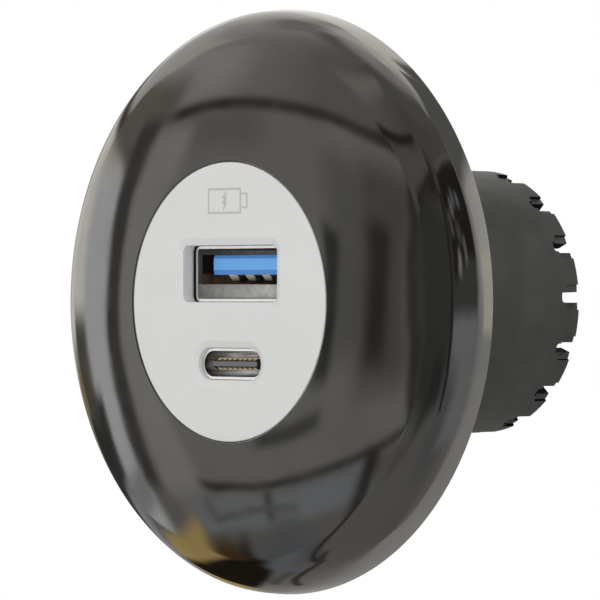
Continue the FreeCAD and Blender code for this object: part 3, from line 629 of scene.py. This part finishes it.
# %% [markdown]
# ### The face disc
# The face is one moulding: a flat disc with a bevelled mouth for each port. Its walls are drawn
# as loops that step down each mouth, with a tiny rounding above and below the bevel, and the
# flat front is filled between the outer loop and the two mouths.

# %% Face disc
face_y, face_back, face_radius = -7.6, -5.4, 14.2
port_a_z, port_c_z = 2.87, -6.3
bevel_width, bevel_depth, mouth_ease = 0.72, 0.32, 0.05
relief_depth, relief_width, edge_ease = 1.65, 0.4, 0.15


def rounded_loop(width, height, radius, y, z=0.0, steps=8):
    """Points round a rounded rectangle or a stadium that faces along the axis."""
    points = []
    for quarter, (side_x, side_z) in enumerate(((1, 1), (-1, 1), (-1, -1), (1, -1))):
        centre = (side_x * (width / 2 - radius), z + side_z * (height / 2 - radius))
        bend = arc(centre, radius, 90 * quarter, 90 * quarter + 90, steps)
        points += [(x, y, up) for x, up in bend]
    return points


def mouth_wall(width, height, radius, z):
    """Loops down a mouth: eased lip, bevel, wall, and the wider relief at the back."""
    steps = [(bevel_width + mouth_ease, 0.0), (bevel_width, 0.006),
             (bevel_width - mouth_ease, mouth_ease * 0.5),
             (mouth_ease * 0.8, bevel_depth - mouth_ease * 0.4),
             (0.01, bevel_depth + mouth_ease * 0.2), (0.0, bevel_depth + mouth_ease)]
    steps += [(0.0, relief_depth), (relief_width, relief_depth),
              (relief_width, face_back - face_y)]
    loops = []
    for out, down in steps:
        loops.append(rounded_loop(width + 2 * out, height + 2 * out, radius + out,
                                  face_y + down, z))
    return loops


def round_loop(radius, y, steps=240):
    return [(x, y, z) for x, z in arc((0, 0), radius, 0, 360, steps)[:-1]]


edge = arc((face_radius - edge_ease, face_y + edge_ease), edge_ease, -90, 0, 4)
disc_wall = [round_loop(radius, y) for radius, y in edge + [(face_radius, face_back)]]
mouth_a = mouth_wall(width=13.9, height=5.78, radius=0.75, z=port_a_z)
mouth_c = mouth_wall(width=9.18, height=3.28, radius=1.64, z=port_c_z)
face_disc = walled("face_disc", [disc_wall, mouth_a, mouth_c])
face_disc.data.materials.append(face_finish)
close_up(face_disc)
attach(face_disc, "housing")
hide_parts("fascia")

# %% [markdown]
# ### The battery sign
# The sign is pad-printed: a film of grey ink with no depth to speak of. A plain picture of a
# battery with a flash in it is common to many chargers. It is made as strips two hundredths of a
# millimetre thick, so that it has its own finish and no texture file is needed.

# %% Battery sign
ink_y = (face_y - 0.02, face_y + 0.005)
sign_x, sign_z, stroke = -0.42, 10.25, 0.19
half_long, half_tall = 2.45, 1.3


def ink(outline, holes=()):
    """Walls for a flat printed shape on the face, from outlines of (x, z) points."""
    return [[[(x, y, z) for x, z in line] for y in ink_y] for line in (outline, *holes)]


def on_sign(points):
    """Points given from the sign's middle."""
    return [(sign_x + x, sign_z + z) for x, z in points]


def frame_of(x0, x1, z0, z1):
    """A rectangle's outline and the hole inside its stroke."""
    outer, inner = [[(x0 + inset, z0 + inset), (x1 - inset, z0 + inset),
                     (x1 - inset, z1 - inset), (x0 + inset, z1 - inset)] for inset in (0, stroke)]
    return ink(outer, [inner])


body = frame_of(sign_x - half_long, sign_x + half_long, sign_z - half_tall, sign_z + half_tall)
cap = ink(on_sign([(half_long, -0.78), (3.4, -0.78), (3.4, 0.78), (half_long, 0.78),
                   (half_long, 0.62), (3.22, 0.62), (3.22, -0.62), (half_long, -0.62)]))
flash = ink(on_sign([(0.3, 1.04), (-0.44, 0.26), (0.02, 0.3), (-0.44, -0.3), (-0.04, -0.26),
                     (-0.2, -1.04), (0.4, -0.08), (0.02, -0.12), (0.46, 0.4), (0.08, 0.36)]))
sign = walled("battery_sign", body)
work = bmesh.new()
work.from_mesh(sign.data)
for extra in (walled("sign_cap", cap), walled("sign_flash", flash)):
    work.from_mesh(extra.data)
    bpy.data.objects.remove(extra)
work.to_mesh(sign.data)
work.free()
sign.data.materials.append(sign_finish)
close_up(sign)
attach(sign, "housing")

# %% [markdown]
# ### The port shells
# Each shell is bent from one strip of sheet steel, so it is a thin wall that runs back from a
# rounded lip. Its loops go up the outside, over the lip and down the inside.

# %% Port shells
def shell_loops(width, height, radius, wall, front, back, z):
    """Loops over a sheet-metal sleeve: back edge, outside, over the flat lip, inside."""
    ease = 0.05
    path = [(0.0, back), (0.0, front + ease), (ease * 0.3, front + ease * 0.3), (ease, front),
            (wall - ease, front), (wall - ease * 0.3, front + ease * 0.3), (wall, front + ease),
            (wall, back)]
    loops = [rounded_loop(width - 2 * inset, height - 2 * inset, max(radius - inset, 0.02), y, z)
             for inset, y in path]
    return loops + [loops[0]]


loops_a = shell_loops(width=13.14, height=5.72, radius=0.6, wall=0.31, front=-5.85, back=7.5,
                      z=port_a_z)
loops_c = shell_loops(width=9.1, height=3.2, radius=1.6, wall=0.3, front=-6.8, back=3.7,
                      z=port_c_z)
shell_a = walled("shell_a", [loops_a], flat_ends=False)
shell_c = walled("shell_c", [loops_c], flat_ends=False)
for piece, node, finish, lip in (
        (shell_a, "usb_a_shell", steel_finish, wide_lip_finish),
        (shell_c, "usb_c_shell", narrow_steel_finish, narrow_lip_finish)):
    piece.data.materials.append(finish)
    piece.data.materials.append(lip)
    close_up(piece, sharp=40)
    for face in piece.data.polygons:
        face.material_index = int(face.normal.y < -0.5)
    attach(piece, "housing")
    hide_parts(node)

# %% [markdown]
# ### Parts that keep their solids
# Most small parts already have the right shape. Where one shows, a copy of its mesh is merged
# and shaded smooth between its edges. The blue tongue's front edges are painted a deeper blue,
# as painted shade, and the grey one's sides are painted near black as shade, so only its front
# catches any light.

# %% Smooth copies
def smooth_copy(node, name, finish, body="housing"):
    """A piece with a node's own mesh, smoothed, in the node's place."""
    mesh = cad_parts[node].data.copy()
    piece = new_object(name, mesh)
    mesh.materials.clear()
    mesh.materials.append(finish)
    for face in mesh.polygons:
        face.material_index = 0
    close_up(piece)
    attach(piece, body)
    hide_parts(node)
    return piece


sprung_contacts = smooth_copy("usb_a_contacts", "sprung_contacts", spring_painted_shade_finish,
                              "contact_springs")
blue_tongue = smooth_copy("usb_a_tongue", "blue_tongue", blue_finish)
blue_tongue.data.materials.append(blue_edge_painted_shade_finish)
# Painted shade: the front edges get the deeper blue.
for face in blue_tongue.data.polygons:
    face.material_index = int(-0.98 < face.normal.y < -0.1 and abs(face.normal.x) < 0.5)
grey_tongue = smooth_copy("usb_c_tongue", "grey_tongue", grey_finish)
grey_tongue.data.materials.append(grey_side_painted_shade_finish)
# Painted shade: all but the grey tongue's front get the near-black side finish.
for face in grey_tongue.data.polygons:
    face.material_index = int(face.normal.y > -0.98)
upper_strips = smooth_copy("usb_c_upper_contacts", "upper_strips", strip_painted_shade_finish)
lower_strips = smooth_copy("usb_c_lower_contacts", "lower_strips", strip_painted_shade_finish)
smooth_copy("blade_terminals", "blades", tin_finish)
smooth_copy("rear_cover", "end_cover", cover_finish)
smooth_copy("panel_gasket", "foam_ring", foam_finish)

# %% [markdown]
# The other parts lie inside, or in the depth of a port: blocks, screws, boards and what is
# soldered to them. They keep their own meshes and only get their finishes.

# %% Finishes for the other nodes
plain_nodes = {
    "bezel_screws": screw_finish, "socket_carrier": carrier_finish,
    "usb_a_insulator": block_finish, "usb_a_legs": gold_finish, "usb_c_body": black_finish,
    "port_board": board_finish, "charge_controllers": chip_finish,
    "board_standoffs": brass_finish, "board_screws": screw_finish, "link_header": black_finish,
    "link_pins": gold_finish, "power_board": board_finish, "inductor": ferrite_finish,
    "inductor_leads": tin_finish, "input_capacitor": can_finish,
    "output_capacitors": can_finish, "buck_controller": chip_finish,
    "power_transistors": chip_finish, "fuse": ceramic_finish,
}
for node, finish in plain_nodes.items():
    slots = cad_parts[node].material_slots
    for place in slots:
        place.material = finish
    print(node, len(slots), "slots")

# %% [markdown]
# ## The set
# A plain pale floor, which the ring's rim touches. The camera sees it pure white, like the
# backdrop, and mirrors see the room through it.

# %% Floor
def by_ray(tree, kind, others, own):
    """A shader of its own for one kind of ray, and another for the rest."""
    rays = put(tree, "ShaderNodeLightPath").outputs[kind]
    return put(tree, "ShaderNodeMixShader", {0: rays, 1: others, 2: own}).outputs[0]


floor_z, floor_reach = -ring_radius - 0.02, 3000
floor = new_piece("studio_floor", [(x * floor_reach, y * floor_reach, floor_z)
                                   for x, y in ((-1, -1), (1, -1), (1, 1), (-1, 1))],
                  [(0, 1, 2, 3)])
floor_finish, tree, shader, place = new_finish("floor_paper")
shader.inputs["Base Color"].default_value = (0.9, 0.9, 0.9, 1)
shader.inputs["Roughness"].default_value = 0.8
bright = put(tree, "ShaderNodeEmission", {"Color": (1, 1, 1, 1)}).outputs[0]
clear = put(tree, "ShaderNodeBsdfTransparent").outputs[0]
seen = by_ray(tree, "Is Camera Ray", shader.outputs[0], bright)
seen = by_ray(tree, "Is Glossy Ray", seen, clear)
tree.links.new(seen, tree.nodes["Material Output"].inputs["Surface"])
floor.data.materials.append(floor_finish)

# %% [markdown]
# ### What the ring reflects
# A mirror shows only its room. The real ring was shot in a grey room with a long window on the
# left, so the world paints such a room by direction: three ramps give the level high up, midway
# and low down, and soft-edged shapes are laid over them for the window, walls, lines of the
# ceiling, furniture and floor. A slow waver bends their edges a little. Mirror rays see this
# room. Everything else is lit evenly, and the camera sees plain white.

# %% World
world = bpy.data.worlds.new("studio")
bpy.context.scene.world = world
world.use_nodes = True
tree = world.node_tree
tree.nodes.clear()
direction = put(tree, "ShaderNodeTexCoord").outputs["Generated"]
waver_degrees = 4.0
waver = put(tree, "ShaderNodeTexNoise", {"Vector": direction, "Scale": 5.0, "Detail": 3.0})
waver = math_of(tree, "SUBTRACT", waver.outputs["Fac"], 0.5)
waver = math_of(tree, "MULTIPLY", waver, waver_degrees)
parts = put(tree, "ShaderNodeSeparateXYZ", {0: direction}).outputs
turn = math_of(tree, "ARCTAN2", parts[0], math_of(tree, "MULTIPLY", parts[1], -1.0))
turn = math_of(tree, "ADD", math_of(tree, "MULTIPLY", turn, math.degrees(1)), waver)
height = math_of(tree, "MULTIPLY", math_of(tree, "ARCSINE", parts[2]), math.degrees(1))
height = math_of(tree, "ADD", height, math_of(tree, "MULTIPLY", waver, 0.5))


# %% Levels and patches
def ease_step(value, low, high):
    return spread(tree, value, 0.0, 1.0, low, high, interpolation_type="SMOOTHSTEP")


def level_ring(stops):
    """Grey levels round the horizon, from (azimuth, level) stops."""
    ramp = put(tree, "ShaderNodeValToRGB", {"Fac": spread(tree, turn, 0.0, 1.0, -180.0, 180.0)})
    points = ramp.color_ramp.elements
    while len(points) < len(stops):
        points.new(0.5)
    for point, (azimuth, level) in zip(points, stops):
        point.position = (azimuth + 180) / 360
        point.color = (level, level * 0.985, level * 0.95, 1)
    return ramp.outputs["Color"]


def shape(azimuth, elevation, half_wide, half_high, lean=0.0, bow=0.0, soft=1.5):
    """Cover of a soft-edged patch. Sizes are degrees; bow bends its middle down."""
    aside = math_of(tree, "SUBTRACT", turn, float(azimuth))
    above = math_of(tree, "SUBTRACT", height, float(elevation))
    tilt = math.radians(lean)
    u = math_of(tree, "ADD", math_of(tree, "MULTIPLY", aside, math.cos(tilt)),
                math_of(tree, "MULTIPLY", above, math.sin(tilt)))
    v = math_of(tree, "SUBTRACT", math_of(tree, "MULTIPLY", above, math.cos(tilt)),
                math_of(tree, "MULTIPLY", aside, math.sin(tilt)))
    if bow:
        square = math_of(tree, "MULTIPLY", u, u)
        v = math_of(tree, "SUBTRACT", v, math_of(tree, "MULTIPLY", square, bow))
    across = ease_step(math_of(tree, "ABSOLUTE", u), half_wide + soft, half_wide - soft)
    upward = ease_step(math_of(tree, "ABSOLUTE", v), half_high + soft,
                       max(half_high - soft, 0.0))
    return math_of(tree, "MULTIPLY", across, upward)


# %% Three levels
high = level_ring([(-180, 0.85), (-125, 0.8), (-95, 0.62), (-65, 0.47), (-25, 0.43), (30, 0.37),
                   (75, 0.42), (105, 0.56), (140, 0.72), (180, 0.85)])
middle = level_ring([(-180, 0.9), (-128, 1.1), (-112, 0.74), (-95, 0.52), (-75, 0.45), (-55, 0.32),
                     (-35, 0.2), (0, 0.15), (20, 0.12), (98, 0.13), (120, 0.6), (140, 0.72),
                     (180, 0.9)])
low = level_ring([(-180, 0.45), (-125, 0.41), (-105, 0.3), (-65, 0.2), (-20, 0.18), (60, 0.17),
                  (95, 0.24), (125, 0.42), (180, 0.45)])
room = mix_colours(tree, low, middle, ease_step(height, -12.0, 8.0))
room = mix_colours(tree, room, high, ease_step(height, 65.0, 83.0))

# %% The room's patches
# Each shape: azimuth, elevation, half width, half height, lean, bow, softness, colour
shapes = [
    # high band and the glow on the ceiling
    (-31, 66, 50, 5, 0, 0, 4, (0.19, 0.19, 0.185)),
    (-114, 60, 16, 6, 0, 0, 5, (0.52, 0.52, 0.5)),
    (-112, 72, 14, 6, 0, 0, 5, (0.74, 0.74, 0.72)),
    (35, 66, 55, 7, 0, 0, 5, (0.145, 0.145, 0.14)),
    (-86, 57, 17, 8, 0, 0, 5, (0.3, 0.3, 0.29)),
    (-90, 25, 24, 9, 0, 0, 4, (0.58, 0.575, 0.55)),
    (-15, 45, 5, 20, -38, 0, 5, (0.27, 0.27, 0.25)),
    (98, 71, 10, 5, 0, 0, 3, (0.46, 0.47, 0.48)),
    # the lit wall beyond the barrel, dark above
    (134, 3, 14, 12, 0, 0, 3, (0.72, 0.72, 0.63)),
    (145, 53, 40, 15, 0, 0, 4, (0.17, 0.17, 0.165)),
    (-174, 47, 8, 10, 0, 0, 4, (0.17, 0.17, 0.165)),
    # dark room to the right, its far side and the floor there
    (15, -2, 28, 26, 0, 0, 5, (0.062, 0.063, 0.062)),
    (24, 33, 13, 7, 8, 0, 6, (0.03, 0.029, 0.027)),
    (-10, -21, 13, 5, -28, 0, 5, (0.155, 0.155, 0.15)),
    (24, -19, 13, 5, -8, 0, 5, (0.045, 0.045, 0.044)),
    (69, 5, 29, 12, 0, 0, 2.5, (0.08, 0.08, 0.08)),
    (72, 31, 29, 17, 8, -0.006, 3, (0.027, 0.026, 0.024)),
    (72, 49.5, 29, 1.2, 8, -0.006, 1, (0.17, 0.17, 0.165)),
    (72, -26, 30, 22, 0, 0, 4, (0.265, 0.27, 0.285)),
    (42, -38, 13, 20, -22, 0, 9, (0.145, 0.15, 0.155)),
    (40, 0, 2.2, 32, 0, 0.004, 1.6, (0.03, 0.03, 0.03)),
    (50, 24, 2.5, 4, 20, 0, 2, (0.15, 0.15, 0.15)),
    (57, 30, 3, 3.5, -20, 0, 2, (0.2, 0.2, 0.2)),
    (63, 34, 2.5, 3, 0, 0, 2, (0.18, 0.18, 0.19)),
    (72, 34, 3, 2.5, 0, 0, 2, (0.2, 0.2, 0.21)),
    (58, 12, 3, 4, -20, 0, 2, (0.34, 0.32, 0.29)),
    (71, 17, 2.5, 4.5, 20, 0, 2, (0.22, 0.22, 0.22)),
    (62, 22, 4, 3, 0, 0, 3, (0.12, 0.12, 0.12)),
    # the beam that runs up to the right
    (8, 28, 24, 5, 30, 0, 2, (0.15, 0.15, 0.145)),
    (0, 33, 24, 1.6, 30, 0, 1.2, (0.035, 0.033, 0.03)),
    (16, 27, 22, 1.6, 30, 0, 1.6, (0.045, 0.044, 0.042)),
    # the lit far wall, its frame and the doorway in it
    (-38, 1, 24.5, 19, 3, -0.004, 1.2, (0.25, 0.25, 0.243)),
    (-29, 5, 4, 10, 0, 0, 3, (0.16, 0.16, 0.155)),
    (-20, 3, 6, 13, -4, 0, 3, (0.125, 0.122, 0.116)),
    (-21.5, 1, 2.5, 7.5, -4, 0, 1.8, (0.05, 0.046, 0.043)),
    (-34, 0, 1.8, 6, -10, 0, 1.2, (0.055, 0.055, 0.055)),
    (-39, -9.5, 5, 1.2, -8, 0, 1, (0.09, 0.09, 0.09)),
    (-50, 14, 7, 3, 10, 0, 3, (0.19, 0.19, 0.185)),
    (-57, 23, 6, 4, 0, 0, 4, (0.42, 0.42, 0.4)),
    (-40, 19.3, 24, 0.9, 6, -0.004, 0.7, (0.06, 0.058, 0.054)),
    (-38, -17.2, 24, 0.7, -4, 0.004, 0.6, (0.065, 0.063, 0.06)),
    (-12.8, -1, 1.4, 16, 0, 0, 1, (0.06, 0.058, 0.055)),
    (-40, -21, 18, 2.6, -3, 0.004, 0.9, (0.25, 0.27, 0.29)),
    (-55, -18, 0.7, 1.6, 10, 0, 0.7, (0.17, 0.17, 0.17)),
    (-44.5, -19.8, 0.8, 2.6, -10, 0, 0.8, (0.11, 0.11, 0.11)),
    (-47, -20.2, 8, 0.4, -6, -0.01, 0.7, (0.17, 0.17, 0.17)),
    # the long window and the wall beside it
    (-100, 6, 30, 8.5, 0, -0.002, 1.4, (0.94, 0.92, 0.87)),
    (-118, 2, 12, 9, 0, 0, 7, (0.6, 0.58, 0.54)),
    (-115, 10, 2, 5, 8, 0, 1.5, (0.17, 0.155, 0.14)),
    (-94, 15.5, 38, 1.4, 0, -0.006, 0.9, (0.1, 0.085, 0.07)),
    (-73, -5.5, 5.5, 15.5, 0, 0, 1.6, (0.66, 0.68, 0.71)),
    (-70, 15.5, 9, 4.5, 0, 0, 2.5, (0.19, 0.18, 0.165)),
    (-65.8, 0, 2.9, 15, 0, 0, 1.2, (0.08, 0.076, 0.072)),
    (-59, -1, 4.2, 15, 0, 0, 1.6, (0.35, 0.35, 0.34)),
    # the bench below the window, and the gilt and dark patches of the floor
    (-104, -6, 26, 1.6, 0, 0, 0.8, (0.3, 0.24, 0.13)),
    (-100, -12.5, 25, 4, 0, 0.003, 1.2, (0.055, 0.055, 0.055)),
    (-82.5, -5, 4, 4, 0, 0, 1.5, (0.13, 0.12, 0.1)),
    (-95, -19, 27, 2.2, 0, 0.006, 1.2, (0.36, 0.37, 0.39)),
    (-92, -29.4, 33, 5.4, 0, 0.0045, 1.4, (0.56, 0.41, 0.165)),
    (-84, -40, 32, 8, -3, 0.0105, 1.8, (0.022, 0.017, 0.013)),
    (-43, -30, 6, 6, 30, 0, 3, (0.15, 0.16, 0.175)),
    (-54, -41, 17, 4.2, 42, -0.012, 2.4, (0.2, 0.215, 0.24)),
    (-41, -42, 4, 11, -20, 0, 3, (0.145, 0.15, 0.16)),
    (-36.5, -38.2, 1.5, 26, -36, 0, 1.2, (0.045, 0.043, 0.04)),
    (-57, -26, 3, 3.5, 0, 0, 2, (0.09, 0.05, 0.022)),
    (-44, -54, 9, 2, 34, 0, 1.6, (0.075, 0.07, 0.065)),
    (-84, -51, 18, 1.8, -8, 0.003, 1.4, (0.14, 0.145, 0.15)),
    (-82, -57, 30, 1.4, -6, 0.002, 1.2, (0.06, 0.055, 0.05)),
]
for azimuth, elevation, wide, tall, lean, bow, soft, colour in shapes:
    cover = shape(azimuth, elevation, wide, tall, lean, bow, soft)
    room = mix_colours(tree, room, colour, cover)
print("room shapes", len(shapes))

# %% What each kind of ray sees
reflected, plain, white = [
    put(tree, "ShaderNodeBackground", {"Color": colour}).outputs[0]
    for colour in (room, (0.9, 0.9, 0.9, 1), (1, 1, 1, 1))]
seen = by_ray(tree, "Is Glossy Ray", plain, reflected)
seen = by_ray(tree, "Is Camera Ray", seen, white)
put(tree, "ShaderNodeOutputWorld", {"Surface": seen})

# %% [markdown]
# ## Light
# A wide soft lamp from the right and a weaker one from the front left add up, with the even
# world, to a level at which a colour renders as it is written. These two are left out of mirror
# reflections, where only the room shows. Deep ports would be black in that light, so a small
# lamp that lights the port parts alone looks into them. It stands where the camera does, so the
# shadows it throws lie behind what throws them.

# %% Lamps
def heading(azimuth, elevation):
    """Unit vector towards an azimuth, 0 in front of the face and 90 to its right."""
    a, e = math.radians(azimuth), math.radians(elevation)
    return Vector((math.sin(a) * math.cos(e), -math.cos(a) * math.cos(e), math.sin(e)))


def soft_lamp(name, azimuth, elevation, distance, size, level):
    """A round lamp, in metres; level is how bright it makes a white surface that faces it."""
    data = bpy.data.lights.new(name, "AREA")
    data.shape = "DISK"
    data.size = size
    data.energy = level * (math.pi * distance) ** 2
    lamp = new_object(name, data)
    lamp.location = heading(azimuth, elevation) * distance
    lamp.rotation_euler = (-lamp.location).to_track_quat("-Z", "Y").to_euler()
    return lamp


lamp_distance, lamp_size = 1.2, 0.7
camera_azimuth, camera_distance = 45.9, 0.4683
for name, azimuth, elevation, level in (("front_left", -20, 8, 0.08), ("right_side", 58, 0, 0.25)):
    lamp = soft_lamp(name, azimuth, elevation, lamp_distance, lamp_size, level)
    lamp.visible_glossy = False
port_parts = bpy.data.collections.new("port_parts")
for piece in (shell_a, shell_c, blue_tongue, grey_tongue, sprung_contacts, upper_strips,
              lower_strips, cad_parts["usb_a_insulator"]):
    port_parts.objects.link(piece)
port_lamp = soft_lamp("port_spot", camera_azimuth, 0, camera_distance, 0.02, 1.05)
port_lamp.light_linking.receiver_collection = port_parts
port_lamp.light_linking.blocker_collection = port_parts

# %% [markdown]
# ## Camera
# The camera's place and lens were fitted to the outlines of the ring, face and barrel. It looks
# level, from a little to the right of the line through the origin, and a lens this long hardly
# narrows what runs back.

# %% Camera
aim_right, aim_up, camera_lens = 1.92, 0.195, 273.96
toward = heading(camera_azimuth, 0)
right = heading(camera_azimuth + 90, 0)
camera_data = bpy.data.cameras.new("camera")
camera_data.lens = camera_lens
camera_data.sensor_width = 36
camera = new_object("camera", camera_data)
camera.location = (toward * camera_distance + right * (aim_right * MM)
                   + Vector((0, 0, aim_up * MM)))
camera.rotation_euler = (-toward).to_track_quat("-Z", "Y").to_euler()
bpy.context.scene.camera = camera
bpy.context.scene.view_settings.view_transform = "Standard"
print("camera at", tuple(round(value, 4) for value in camera.location))
